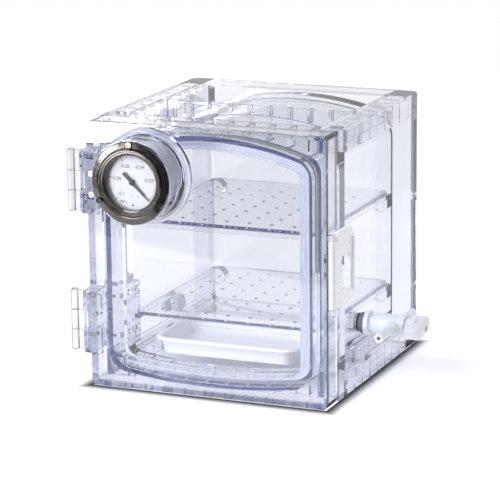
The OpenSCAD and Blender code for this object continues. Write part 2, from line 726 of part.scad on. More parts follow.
module movement_pillars() color("darkgoldenrod") seat() at_gauge()
    for (place = [[-6, -26.5], [6, -26.5], [0, 7]])
        translate([place[0], place[1], back_plate_z + 1])
            cylinder(r = 1.3, h = front_plate_z - back_plate_z - 1, $fn = 36);

// flat spiral about the pinion's arbor, its outer end held by a stud
module hairspring() color("steelblue") seat() at_gauge() {
    turns = 4;
    step = 15;
    r0 = 1.5;
    gap = 0.95;
    edge = [for (side = [-0.1, 0.1]) [for (a = [0 : step : 360 * turns])
        (r0 + gap * a / 360 + side) * [cos(a), sin(a)]]];
    back = [for (i = [len(edge[1]) - 1 : -1 : 0]) edge[1][i]];
    translate([0, 0, back_plate_z + 1.5]) linear_extrude(0.8) polygon(concat(edge[0], back));
    translate([r0 + gap * turns, 0, back_plate_z + 1]) cylinder(r = 0.5, h = 1.6, $fn = 24);
}

// one straight-sided gear tooth lying along +x
module tooth(root_r, tip_r, root_w, tip_w)
    polygon([[root_r - 0.4, -root_w / 2], [root_r, -root_w / 2], [tip_r, -tip_w / 2],
        [tip_r, tip_w / 2], [root_r, root_w / 2], [root_r - 0.4, root_w / 2]]);

// toothed sector with a tail and its pin
module sector_gear() color("goldenrod") seat() at_gauge()
    translate([0, -centre_d, gear_z - gear_t / 2]) {
        pitch = 360 / sector_teeth;
        low = 90 - sector_back;
        root_r = sector_r - 0.6;
        difference() {
            linear_extrude(gear_t) {
                for (a = [90 - pitch : pitch : 90 + sector_ahead - 1])
                    rotate(a) tooth(root_r, sector_r + 0.4, 1.0, 0.32);
                difference() {
                    intersection() {
                        circle(r = root_r);
                        polygon([[0, 0], 2 * root_r * [cos(low), sin(low)],
                            2 * root_r * [cos(low + 29), sin(low + 29)],
                            2 * root_r * [cos(90 + sector_ahead), sin(90 + sector_ahead)]]);
                    }
                    circle(r = root_r - 2.2);
                }
                for (a = [low + 3, 90 + sector_ahead - 3])
                    rotate(a) translate([0, -1]) square([root_r - 1, 2]);
                circle(r = 2.6);
                rotate(tail_turn) translate([0, -1.2]) square([tail_r, 2.4]);
                rotate(tail_turn) translate([tail_r, 0]) circle(r = 1.2);
            }
            translate([0, 0, -1]) cylinder(r = arbor_r, h = 4, $fn = 36);
        }
        rotate([0, 0, tail_turn]) translate([tail_r, 0, -2.1]) cylinder(r = 0.6, h = 2.2, $fn = 24);
    }

module sector_arbor() color("silver") seat() at_gauge()
    translate([0, -centre_d, back_plate_z + 0.1])
        cylinder(r = arbor_r, h = front_plate_z + 0.8 - back_plate_z, $fn = 36);

// pinion on its long arbor, which carries the pointer
module pinion() color("silver") seat() at_gauge() {
    translate([0, 0, back_plate_z - 0.8]) cylinder(r = arbor_r, h = pointer_z + 0.8 - back_plate_z, $fn = 36);
    translate([0, 0, gear_z - gear_t / 2 - 0.1]) linear_extrude(gear_t + 0.2) {
        circle(r = pinion_r - 0.6);
        for (a = [0 : 360 / pinion_teeth : 359])
            rotate(a + 180 / pinion_teeth - 90) tooth(pinion_r - 0.6, pinion_r + 0.38, 0.84, 0.28);
    }
}

module pointer() color([0.08, 0.08, 0.08]) seat() at_gauge()
    translate([0, 0, pointer_z]) rotate([0, 0, pointer_turn]) linear_extrude(0.8)
        polygon([[-12, -1.3], [-12, 1.3], [-1, 1.2], [13, 0.8], [24.5, 0.15],
            [24.5, -0.15], [13, -0.8], [-1, -1.2]]);

module pointer_hub() color([0.08, 0.08, 0.08]) seat() at_gauge()
    translate([0, 0, pointer_z + 0.8]) cylinder(r = 2.4, h = 0.7, $fn = 36);

module gauge_seal() color("dimgray") seat() at_gauge() translate([0, -stem_drop, 0]) ring(9, stem_r, 3);
module gauge_washer() color("silver") seat() at_gauge()
    translate([0, -stem_drop, -plate_t - 1.5]) ring(10, stem_r, 1.5);
module gauge_nut() color("darkgoldenrod") seat() at_gauge()
    translate([0, -stem_drop, -plate_t - 7.5]) hex_nut(9, stem_r, 6);

cabinet_shell();
lower_shelf();
upper_shelf();
desiccant_tray();
upper_hinge_cabinet_leaf();
lower_hinge_cabinet_leaf();
upper_hinge_pin();
lower_hinge_pin();
cabinet_hinge_screws();
latch_keeper();
keeper_screws();
valve_body();
valve_seal();
valve_lock_nut();
valve_inner_nut();
port_plug();
port_seal();
port_nut();
valve_plug();
valve_handle();
handle_screw();
door_panel();
door_gasket();
upper_hinge_door_leaf();
lower_hinge_door_leaf();
door_hinge_screws();
latch_pin();
latch_lever();
gauge_case();
gauge_flange();
gauge_flange_screws();
gauge_bezel();
gauge_lens();
dial_plate();
dial_screws();
gauge_socket();
bourdon_tube();
tip_link();
movement_front_plate();
movement_back_plate();
movement_pillars();
hairspring();
gauge_seal();
gauge_washer();
gauge_nut();
sector_gear();
sector_arbor();
pinion();
pointer();
pointer_hub();
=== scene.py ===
import json
import math

import bmesh
import bpy
import numpy as np
from mathutils import Matrix, Vector


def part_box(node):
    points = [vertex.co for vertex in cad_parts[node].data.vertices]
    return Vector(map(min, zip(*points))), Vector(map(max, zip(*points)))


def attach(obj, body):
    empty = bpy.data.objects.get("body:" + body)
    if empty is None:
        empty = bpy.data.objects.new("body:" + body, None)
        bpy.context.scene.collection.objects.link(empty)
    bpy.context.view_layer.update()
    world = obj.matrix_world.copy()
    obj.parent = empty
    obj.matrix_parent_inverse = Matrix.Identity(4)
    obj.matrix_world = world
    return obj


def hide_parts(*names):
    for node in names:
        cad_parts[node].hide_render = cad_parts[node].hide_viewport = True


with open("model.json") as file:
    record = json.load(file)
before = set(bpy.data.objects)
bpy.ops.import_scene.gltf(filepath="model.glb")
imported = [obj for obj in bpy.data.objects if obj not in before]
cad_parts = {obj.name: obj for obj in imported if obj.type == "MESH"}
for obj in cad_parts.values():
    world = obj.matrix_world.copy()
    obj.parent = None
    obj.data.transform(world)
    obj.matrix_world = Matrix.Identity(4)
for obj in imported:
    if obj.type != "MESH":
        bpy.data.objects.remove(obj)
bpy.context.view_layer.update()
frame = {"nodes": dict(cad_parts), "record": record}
nodes = frame["nodes"]
print("frame loaded:", len(nodes), "nodes")

# lens in mm, place in metres from the middle of the base, turns in degrees
cameraLook = {"lens": 181.5, "sensor": 36, "place": (0.9686, -2.3160, 0.7317),
              "yaw": 22.87, "pitch": 13.70, "roll": -0.63}


# the camera looks along ahead; its right and up are turned about that line by roll
def makeCamera(look):
    yaw, pitch, roll = (math.radians(look[k]) for k in ("yaw", "pitch", "roll"))
    ahead = Vector((-math.sin(yaw) * math.cos(pitch), math.cos(yaw) * math.cos(pitch), -math.sin(pitch)))
    level = ahead.cross(Vector((0, 0, 1))).normalized()
    lift = level.cross(ahead)
    right = level * math.cos(roll) + lift * math.sin(roll)
    up = lift * math.cos(roll) - level * math.sin(roll)
    camera = bpy.data.objects.new("camera", bpy.data.cameras.new("camera"))
    bpy.context.scene.collection.objects.link(camera)
    camera.data.lens = look["lens"]
    camera.data.sensor_width = look["sensor"]
    camera.data.clip_end = 20
    turn = Matrix((right, up, -ahead)).transposed().to_4x4()
    camera.matrix_world = Matrix.Translation(look["place"]) @ turn
    bpy.context.scene.camera = camera


makeCamera(cameraLook)


# helpers shared by all materials
def addNode(tree, kind, **settings):
    node = tree.nodes.new(kind)
    for key, value in settings.items():
        setattr(node, key, value)
    return node


def newMaterial(name):
    material = bpy.data.materials.new(name)
    material.use_nodes = True
    tree = material.node_tree
    tree.nodes.clear()
    output = addNode(tree, "ShaderNodeOutputMaterial")
    shader = addNode(tree, "ShaderNodeBsdfPrincipled")
    tree.links.new(shader.outputs["BSDF"], output.inputs["Surface"])
    return material, tree, shader, output


def setShader(shader, **values):
    for key, value in values.items():
        shader.inputs[key.replace("_", " ")].default_value = value


def newGroup(name, inputs, outputs):
    group = bpy.data.node_groups.new(name, "ShaderNodeTree")
    for label, kind, value in inputs:
        socket = group.interface.new_socket(label, in_out="INPUT", socket_type=kind)
        socket.default_value = value
    for label, kind in outputs:
        group.interface.new_socket(label, in_out="OUTPUT", socket_type=kind)
    return group, addNode(group, "NodeGroupInput"), addNode(group, "NodeGroupOutput")


def useGroup(tree, group, **values):
    node = addNode(tree, "ShaderNodeGroup", node_tree=group)
    for key, value in values.items():
        node.inputs[key].default_value = value
    return node


# slow waves and fine ripple of a moulded face: Height for a bump, Cloud for colour or roughness
def makeMouldFlow():
    group, inside, outside = newGroup(
        "mouldFlow",
        [("Waves", "NodeSocketFloat", 30.0), ("Ripple", "NodeSocketFloat", 260.0),
         ("RippleShare", "NodeSocketFloat", 0.2)],
        [("Height", "NodeSocketFloat"), ("Cloud", "NodeSocketFloat")])
    place = addNode(group, "ShaderNodeTexCoord")
    waves = addNode(group, "ShaderNodeTexNoise")
    waves.inputs["Detail"].default_value = 2
    ripple = addNode(group, "ShaderNodeTexNoise")
    ripple.inputs["Detail"].default_value = 3
    blend = addNode(group, "ShaderNodeMix")
    link = group.links.new
    link(place.outputs["Object"], waves.inputs["Vector"])
    link(place.outputs["Object"], ripple.inputs["Vector"])
    link(inside.outputs["Waves"], waves.inputs["Scale"])
    link(inside.outputs["Ripple"], ripple.inputs["Scale"])
    link(inside.outputs["RippleShare"], blend.inputs["Factor"])
    link(waves.outputs["Fac"], blend.inputs["A"])
    link(ripple.outputs["Fac"], blend.inputs["B"])
    link(blend.outputs["Result"], outside.inputs["Height"])
    link(ripple.outputs["Fac"], outside.inputs["Cloud"])
    return group


# rubbed edges and a faint scuff: Edge is 1 on sharp edges, Scuff varies slowly over the face
def makeEdgeWear():
    group, inside, outside = newGroup(
        "edgeWear",
        [("Width", "NodeSocketFloat", 0.0008), ("Scale", "NodeSocketFloat", 220.0)],
        [("Edge", "NodeSocketFloat"), ("Scuff", "NodeSocketFloat")])
    place = addNode(group, "ShaderNodeTexCoord")
    soft = addNode(group, "ShaderNodeBevel", samples=4)
    face = addNode(group, "ShaderNodeNewGeometry")
    facing = addNode(group, "ShaderNodeVectorMath", operation="DOT_PRODUCT")
    sharp = addNode(group, "ShaderNodeMapRange")
    sharp.inputs["From Min"].default_value = 0.995
    sharp.inputs["From Max"].default_value = 0.80
    broken = addNode(group, "ShaderNodeTexNoise")
    broken.inputs["Detail"].default_value = 5
    cut = addNode(group, "ShaderNodeMapRange")
    cut.inputs["From Min"].default_value = 0.40
    cut.inputs["From Max"].default_value = 0.62
    both = addNode(group, "ShaderNodeMath", operation="MULTIPLY")
    link = group.links.new
    link(inside.outputs["Width"], soft.inputs["Radius"])
    link(soft.outputs["Normal"], facing.inputs[0])
    link(face.outputs["Normal"], facing.inputs[1])
    link(facing.outputs["Value"], sharp.inputs["Value"])
    link(place.outputs["Object"], broken.inputs["Vector"])
    link(inside.outputs["Scale"], broken.inputs["Scale"])
    link(broken.outputs["Fac"], cut.inputs["Value"])
    link(sharp.outputs["Result"], both.inputs[0])
    link(cut.outputs["Result"], both.inputs[1])
    link(both.outputs["Value"], outside.inputs["Edge"])
    link(broken.outputs["Fac"], outside.inputs["Scuff"])
    return group


mouldFlow = makeMouldFlow()
edgeWear = makeEdgeWear()


# bump from a height, with distance in metres
def addBump(tree, shader, height, strength, distance):
    bump = addNode(tree, "ShaderNodeBump")
    bump.inputs["Strength"].default_value = strength
    bump.inputs["Distance"].default_value = distance
    tree.links.new(height, bump.inputs["Height"])
    tree.links.new(bump.outputs["Normal"], shader.inputs["Normal"])


# stretches a noise value's middle range over low to high
def spread(tree, value, low, high, socket):
    ramp = addNode(tree, "ShaderNodeMapRange")
    ramp.inputs["From Min"].default_value = 0.3
    ramp.inputs["From Max"].default_value = 0.7
    ramp.inputs["To Min"].default_value = low
    ramp.inputs["To Max"].default_value = high
    tree.links.new(value, ramp.inputs["Value"])
    tree.links.new(ramp.outputs["Result"], socket)


# colour between dark and light, by value
def tint(tree, value, dark, light, socket):
    mix = addNode(tree, "ShaderNodeMix", data_type="RGBA")
    mix.inputs["A"].default_value = (*dark, 1)
    mix.inputs["B"].default_value = (*light, 1)
    tree.links.new(value, mix.inputs["Factor"])
    tree.links.new(mix.outputs["Result"], socket)


# absorb and density colour the plastic with its depth; shade is what a lamp ray keeps
clearLook = {"tint": (0.985, 0.988, 1.0), "index": 1.56, "absorb": (0.40, 0.45, 0.66), "density": 12.0,
             "rough": (0.0, 0.02), "waveDepth": 0.000006, "shade": (0.99, 0.99, 1.0)}


# lamp rays pass straight through, so that what stands inside is lit
def letLampsThrough(tree, shader, output, shade):
    path = addNode(tree, "ShaderNodeLightPath")
    through = addNode(tree, "ShaderNodeBsdfTransparent")
    through.inputs["Color"].default_value = (*shade, 1)
    blend = addNode(tree, "ShaderNodeMixShader")
    tree.links.new(path.outputs["Is Shadow Ray"], blend.inputs["Fac"])
    tree.links.new(shader.outputs["BSDF"], blend.inputs[1])
    tree.links.new(through.outputs["BSDF"], blend.inputs[2])
    tree.links.new(blend.outputs["Shader"], output.inputs["Surface"])


def makeClear(name, look):
    material, tree, shader, output = newMaterial(name)
    setShader(shader, IOR=look["index"], Transmission_Weight=1.0)
    flow = useGroup(tree, mouldFlow, Waves=22.0, Ripple=160.0, RippleShare=0.1)
    deeper = tuple(c * 0.985 for c in look["tint"])
    tint(tree, flow.outputs["Cloud"], deeper, look["tint"], shader.inputs["Base Color"])
    spread(tree, flow.outputs["Cloud"], *look["rough"], shader.inputs["Roughness"])
    addBump(tree, shader, flow.outputs["Height"], 0.5, look["waveDepth"])
    depth = addNode(tree, "ShaderNodeVolumeAbsorption")
    depth.inputs["Color"].default_value = (*look["absorb"], 1)
    depth.inputs["Density"].default_value = look["density"]
    tree.links.new(depth.outputs["Volume"], output.inputs["Volume"])
    letLampsThrough(tree, shader, output, look["shade"])
    return material


plasticLook = {
    "whitePlastic": {"dark": (0.80, 0.82, 0.85), "light": (0.90, 0.91, 0.92), "rough": (0.22, 0.38), "soft": 0.15},
    "trayWhite": {"dark": (0.93, 0.94, 0.96), "light": (0.97, 0.975, 0.98), "rough": (0.30, 0.45), "soft": 0.20},
    "darkNut": {"dark": (0.10, 0.10, 0.13), "light": (0.20, 0.20, 0.24), "rough": (0.35, 0.55), "soft": 0.0},
    "portBlue": {"dark": (0.28, 0.36, 0.50), "light": (0.42, 0.50, 0.63), "rough": (0.25, 0.45), "soft": 0.0},
    "blackRubber": {"dark": (0.015, 0.015, 0.017), "light": (0.04, 0.04, 0.045), "rough": (0.55, 0.75),
                    "soft": 0.0},
}


def makePlastic(name, look):
    material, tree, shader, _ = newMaterial(name)
    setShader(shader, Subsurface_Weight=look["soft"], Subsurface_Scale=0.004)
    flow = useGroup(tree, mouldFlow, Waves=60.0, Ripple=900.0, RippleShare=0.4)
    worn = useGroup(tree, edgeWear, Width=0.0007, Scale=300.0)
    tint(tree, flow.outputs["Cloud"], look["dark"], look["light"], shader.inputs["Base Color"])
    mixed = addNode(tree, "ShaderNodeMath", operation="ADD")
    tree.links.new(flow.outputs["Cloud"], mixed.inputs[0])
    tree.links.new(worn.outputs["Edge"], mixed.inputs[1])
    spread(tree, mixed.outputs["Value"], *look["rough"], shader.inputs["Roughness"])
    addBump(tree, shader, flow.outputs["Height"], 0.35, 0.00008)
    return material


milkyLook = {
    "milkyPlastic": {"dark": (0.74, 0.80, 0.84), "light": (0.84, 0.88, 0.91), "through": 0.0,
                     "rough": (0.22, 0.34)},
    "gasketRubber": {"dark": (0.88, 0.90, 0.94), "light": (0.95, 0.96, 0.98), "through": 0.5,
                     "rough": (0.30, 0.42)},
    "latchWhite": {"dark": (0.88, 0.90, 0.93), "light": (0.94, 0.95, 0.97), "through": 0.0,
                   "rough": (0.20, 0.32)},
}


# whitish plastic, soft inside; the share that passes straight through is set by through
def makeMilky(name, look):
    material, tree, shader, output = newMaterial(name)
    setShader(shader, IOR=1.46, Transmission_Weight=look["through"], Subsurface_Weight=0.2, Subsurface_Scale=0.003)
    flow = useGroup(tree, mouldFlow, Waves=60.0, Ripple=300.0, RippleShare=0.3)
    tint(tree, flow.outputs["Cloud"], look["dark"], look["light"], shader.inputs["Base Color"])
    spread(tree, flow.outputs["Cloud"], *look["rough"], shader.inputs["Roughness"])
    addBump(tree, shader, flow.outputs["Height"], 0.25, 0.00002)
    if look["through"] > 0:
        letLampsThrough(tree, shader, output, (0.9, 0.91, 0.93))
    return material


metalLook = {
    "plainSteel": {"dark": (0.24, 0.24, 0.26), "light": (0.38, 0.38, 0.40), "edge": (0.62, 0.62, 0.63),
                   "rough": (0.20, 0.36)},
    "brassGold": {"dark": (0.50, 0.34, 0.12), "light": (0.72, 0.54, 0.24), "edge": (0.90, 0.76, 0.45),
                  "rough": (0.25, 0.42)},
}


# plain metal, lighter where its edges are rubbed
def makeMetal(name, look):
    material, tree, shader, _ = newMaterial(name)
    setShader(shader, Metallic=1.0)
    flow = useGroup(tree, mouldFlow, Waves=200.0, Ripple=1600.0, RippleShare=0.5)
    worn = useGroup(tree, edgeWear, Width=0.0004, Scale=600.0)
    base = addNode(tree, "ShaderNodeMix", data_type="RGBA")
    base.inputs["A"].default_value = (*look["dark"], 1)
    base.inputs["B"].default_value = (*look["light"], 1)
    tree.links.new(flow.outputs["Cloud"], base.inputs["Factor"])
    edge = addNode(tree, "ShaderNodeMix", data_type="RGBA")
    edge.inputs["B"].default_value = (*look["edge"], 1)
    tree.links.new(base.outputs["Result"], edge.inputs["A"])
    tree.links.new(worn.outputs["Edge"], edge.inputs["Factor"])
    tree.links.new(edge.outputs["Result"], shader.inputs["Base Color"])
    spread(tree, flow.outputs["Cloud"], *look["rough"], shader.inputs["Roughness"])
    addBump(tree, shader, flow.outputs["Height"], 0.3, 0.00005)
    return material


# turned metal: rings about the gauge's axis, from the distance to it on Object coordinates
def makeTurned(name, centre, base, rough):
    material, tree, shader, _ = newMaterial(name)
    setShader(shader, Metallic=1.0)
    place = addNode(tree, "ShaderNodeTexCoord")
    shift = addNode(tree, "ShaderNodeMapping")
    shift.inputs["Location"].default_value = (-centre[0], 0, -centre[2])
    shift.inputs["Scale"].default_value = (1, 0, 1)
    reach = addNode(tree, "ShaderNodeVectorMath", operation="LENGTH")
    rings = addNode(tree, "ShaderNodeTexNoise", noise_dimensions="1D")
    rings.inputs["Scale"].default_value = 4000
    rings.inputs["Detail"].default_value = 2
    worn = useGroup(tree, edgeWear, Width=0.0006, Scale=260.0)
    link = tree.links.new
    link(place.outputs["Object"], shift.inputs["Vector"])
    link(shift.outputs["Vector"], reach.inputs[0])
    link(reach.outputs["Value"], rings.inputs["W"])
    tint(tree, rings.outputs["Fac"], tuple(c * 0.75 for c in base), base, shader.inputs["Base Color"])
    spread(tree, worn.outputs["Scuff"], *rough, shader.inputs["Roughness"])
    addBump(tree, shader, rings.outputs["Fac"], 0.25, 0.00002)
    return material


# the gauge's glass
def makeWindow(name):
    material, tree, shader, output = newMaterial(name)
    setShader(shader, IOR=1.5, Transmission_Weight=1.0)
    flow = useGroup(tree, mouldFlow, Waves=50.0, Ripple=500.0, RippleShare=0.1)
    tint(tree, flow.outputs["Cloud"], (0.98, 0.985, 0.99), (1, 1, 1), shader.inputs["Base Color"])
    spread(tree, flow.outputs["Cloud"], 0.0, 0.01, shader.inputs["Roughness"])
    addBump(tree, shader, flow.outputs["Height"], 0.1, 0.000005)
    letLampsThrough(tree, shader, output, (0.97, 0.975, 0.98))
    return material


def makePaint(name, dark, light, rough):
    material, tree, shader, _ = newMaterial(name)
    flow = useGroup(tree, mouldFlow, Waves=150.0, Ripple=2200.0, RippleShare=0.6)
    tint(tree, flow.outputs["Cloud"], dark, light, shader.inputs["Base Color"])
    spread(tree, flow.outputs["Cloud"], *rough, shader.inputs["Roughness"])
    addBump(tree, shader, flow.outputs["Height"], 0.3, 0.00002)
    return material


gaugeCentre = [sum(pair) / 2 for pair in zip(*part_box("gauge_lens"))]
finishes = {
    "clear_plastic": makeClear("clearPlastic", clearLook),
    "white_plastic": makePlastic("whitePlastic", plasticLook["whitePlastic"]),
    "milky_plastic": makeMilky("milkyPlastic", milkyLook["milkyPlastic"]),
    "gasket_rubber": makeMilky("gasketRubber", milkyLook["gasketRubber"]),
    "black_rubber": makePlastic("blackRubber", plasticLook["blackRubber"]),
    "dark_nut": makePlastic("darkNut", plasticLook["darkNut"]),
    "port_blue": makePlastic("portBlue", plasticLook["portBlue"]),
    "steel": makeMetal("plainSteel", metalLook["plainSteel"]),
    "pale_steel": makePaint("paleSteel", (0.70, 0.72, 0.77), (0.82, 0.84, 0.88), (0.28, 0.42)),
    "dark_chrome": makeTurned("darkChrome", gaugeCentre, (0.135, 0.125, 0.12), (0.07, 0.18)),
    "gauge_glass": makeWindow("gaugeWindow"),
    "dial_white": makePaint("dialWhite", (0.50, 0.51, 0.56), (0.57, 0.58, 0.63), (0.35, 0.5)),
    "pointer_black": makePaint("pointerBlack", (0.008, 0.008, 0.009), (0.02, 0.02, 0.02), (0.3, 0.45)),
    "brass": makeMetal("brassGold", metalLook["brassGold"]),
}
ownFinishes = {
    "desiccant_tray": makePlastic("trayWhite", plasticLook["trayWhite"]),
    "latch_lever": makeMilky("latchWhite", milkyLook["latchWhite"]),
}
print("materials made:", len(finishes) + len(ownFinishes))

# every CAD node gets its slot's finish; two nodes have one of their own
slotOf = {part["node"]: part["material_slot"] for part in frame["record"]["subparts"]}
bodyOf = {name: body for body, members in frame["record"]["behaviour"]["bodies"].items() for name in members}
for name, piece in nodes.items():
    piece.data.materials.clear()
    piece.data.materials.append(ownFinishes.get(name) or finishes[slotOf[name]])


# puts a mesh in the scene in place of the CAD nodes in standsFor, or beside them when it is empty
def addPiece(mesh, name, body, material, standsFor=()):
    piece = bpy.data.objects.new(name, mesh)
    bpy.context.scene.collection.objects.link(piece)
    mesh.materials.append(material)
    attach(piece, body)
    for node in standsFor:
        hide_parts(node)
    return piece


def meshFrom(name, points, faces, smooth=True):
    mesh = bpy.data.meshes.new(name)
    mesh.from_pydata([tuple(point) for point in points], [], [tuple(int(i) for i in face) for face in faces])
    mesh.polygons.foreach_set("use_smooth", [smooth] * len(mesh.polygons))
    mesh.update()
    return mesh


# rings is an array (ring, point, xyz); faces join each ring to the next, and lastly the two ends to their middles
def skin(name, rings):
    count, around, _ = rings.shape
    points = rings.reshape(-1, 3)
    row, step = np.meshgrid(np.arange(count - 1), np.arange(around), indexing="ij")
    here = row * around + step
    beside = row * around + (step + 1) % around
    faces = np.stack([here, beside, beside + around, here + around], -1).reshape(-1, 4).tolist()
    low, high = len(points), len(points) + 1
    i = np.arange(around)
    j = (i + 1) % around
    last = (count - 1) * around
    ends = np.stack([np.full(around, low), j, i, np.full(around, high), last + i, last + j], -1)
    faces += ends.reshape(-1, 3).tolist()
    points = np.vstack([points, rings[0].mean(0), rings[-1].mean(0)])
    return meshFrom(name, points, faces)


# rounded rectangle about the origin, point by point round it: a straight part and a quarter circle per corner
def roundedLoop(halfWide, halfLong, radius, perCorner=10):
    turns = np.radians(np.concatenate([np.linspace(90 * k, 90 * k + 90, perCorner) for k in range(4)]))
    cornerX = np.repeat([1, -1, -1, 1], perCorner) * (halfWide - radius)
    cornerY = np.repeat([1, 1, -1, -1], perCorner) * (halfLong - radius)
    return np.stack([cornerX + radius * np.cos(turns), cornerY + radius * np.sin(turns)], -1)


# lengths in metres, angles in degrees
copyLook = {"merge": 0.000002, "flat": 0.6, "inset": 0.00004, "most": 2.0, "segments": 2, "sharpFrom": 28}


# copy of a CAD node, or of the node like moved to its place. Its triangles are joined where flat, its
# faces move in by inset so that touching pieces keep air between them, and its sharp edges are rounded
def roundedCopy(name, width, like, look):
    mesh = bpy.data.meshes.new(name)
    work = bmesh.new()
    work.from_mesh(nodes[like or name].data)
    if like:
        bmesh.ops.translate(work, verts=work.verts, vec=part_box(name)[0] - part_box(like)[0])
    bmesh.ops.remove_doubles(work, verts=work.verts, dist=look["merge"])
    bmesh.ops.dissolve_limit(work, angle_limit=math.radians(look["flat"]), verts=work.verts, edges=work.edges)
    work.normal_update()
    shifts = [vert.normal * look["inset"] * min(vert.calc_shell_factor(), look["most"]) for vert in work.verts]
    for vert, shift in zip(work.verts, shifts):
        vert.co -= shift
    work.to_mesh(mesh)
    work.free()
    mesh.polygons.foreach_set("use_smooth", [True] * len(mesh.polygons))
    material = ownFinishes.get(name) or finishes[slotOf[name]]
    piece = addPiece(mesh, name + "Round", bodyOf[name], material, [name])
    bevel = piece.modifiers.new("roundEdges", "BEVEL")
    bevel.width = width
    bevel.segments = look["segments"]
    bevel.limit_method = "ANGLE"
    bevel.angle_limit = math.radians(look["sharpFrom"])
    bevel.use_clamp_overlap = True
    bevel.face_strength_mode = "FSTR_ALL"
    flatten = piece.modifiers.new("flatFaces", "WEIGHTED_NORMAL")
    flatten.mode = "FACE_AREA"
    flatten.weight = 100
    flatten.keep_sharp = True
    flatten.use_face_influence = True


# the two hinges are alike: the upper one is made from the lower one
twins = {"upper_hinge_door_leaf": "lower_hinge_door_leaf",
         "upper_hinge_cabinet_leaf": "lower_hinge_cabinet_leaf"}
# radius of the rounded edges, in metres
roundedEdges = {
    "cabinet_shell": 0.0007, "door_panel": 0.0007, "lower_shelf": 0.0006, "upper_shelf": 0.0006,
    "upper_hinge_cabinet_leaf": 0.0003, "lower_hinge_cabinet_leaf": 0.0003,
    "upper_hinge_door_leaf": 0.0003, "lower_hinge_door_leaf": 0.0003,
    "upper_hinge_pin": 0.0002, "lower_hinge_pin": 0.0002,
    "latch_keeper": 0.0003, "latch_lever": 0.0010, "door_gasket": 0.0004, "valve_body": 0.0005,
    "gauge_flange": 0.0003, "gauge_bezel": 0.0003, "valve_lock_nut": 0.0003, "port_plug": 0.0004,
    "port_nut": 0.0004, "valve_inner_nut": 0.0004, "gauge_nut": 0.0003,
    "cabinet_hinge_screws": 0.0003, "door_hinge_screws": 0.0003, "gauge_flange_screws": 0.0003,
}
for name, width in roundedEdges.items():
    roundedCopy(name, width, twins.get(name), copyLook)
print("rounded pieces made:", len(roundedEdges))

# inset from the rim's outside and height, both in mm, from the underside round the rim to the inside floor
trayLook = {
    "profile": [(12.0, 0.0), (9.0, 0.0), (8.2, 0.5), (7.6, 1.8), (5.4, 14.2), (4.6, 15.0), (1.0, 14.6),
                (0.3, 14.9), (0.0, 15.8), (0.3, 17.0), (1.2, 17.8), (2.4, 18.0), (4.4, 18.0), (5.4, 17.6),
                (6.0, 16.6), (8.8, 4.8), (9.6, 3.4), (11.0, 2.6), (13.0, 2.3)],
    "corner": 19.0, "leastCorner": 3.0, "floorRings": 12, "waveHeight": 0.9, "waveLength": 26.0, "waveFade": 3,
}


# the profile is carried round a rounded rectangle: each of its points is one ring of the skin
def makeTray(look):
    low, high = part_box("desiccant_tray")
    centre = (low + high) / 2
    halfWide, halfLong = (high.x - low.x) / 2, (high.y - low.y) / 2
    rings = []
    for inset, height in look["profile"]:
        inset, height = inset / 1000, height / 1000
        radius = max(look["corner"] / 1000 - inset, look["leastCorner"] / 1000)
        loop = roundedLoop(halfWide - inset, halfLong - inset, radius)
        rings.append(np.column_stack([loop + (centre.x, centre.y), np.full(len(loop), low.z + height)]))
    # floor: height = last height + wave * (1 - cos(2 pi x / length)) * cos(pi y / depth) / 2,
    # faded in from the edge
    edge = rings[-1]
    middle = edge.mean(0)
    for i in range(1, look["floorRings"]):
        share = i / look["floorRings"]
        ring = edge + (middle - edge) * share
        x = (ring[:, 0] - middle[0]) * 1000
        y = (ring[:, 1] - middle[1]) / (2 * halfLong)
        wave = look["waveHeight"] / 2000 * (1 - np.cos(2 * np.pi * x / look["waveLength"])) * np.cos(np.pi * y)
        ring[:, 2] += wave * min(1.0, share * look["waveFade"])
        rings.append(ring)
    addPiece(skin("tray", np.array(rings)), "trayShape", bodyOf["desiccant_tray"],
             ownFinishes["desiccant_tray"], ["desiccant_tray"])


makeTray(trayLook)

# half length, half width and distance from the handle's inner face, in mm
handleLook = {
    "paddle": [(17.6, 5.8, 0.0), (18.6, 6.8, 0.5), (19.0, 7.0, 1.6), (19.0, 7.0, 12.0), (18.7, 6.8, 14.0),
               (18.0, 6.3, 15.8), (16.6, 5.6, 17.2), (14.2, 4.8, 18.2), (10.5, 4.2, 18.8), (6.5, 3.8, 19.0),
               (3.6, 3.6, 19.0), (3.25, 3.25, 18.7), (3.2, 3.2, 16.2), (1.6, 1.6, 16.0)],
    "hub": [(8.9, 8.9, 0.0), (9.4, 9.4, 0.5), (9.5, 9.5, 1.2), (9.4, 9.4, 7.0), (8.8, 8.8, 8.3),
            (7.4, 7.4, 9.0)],
    "around": 48,
}


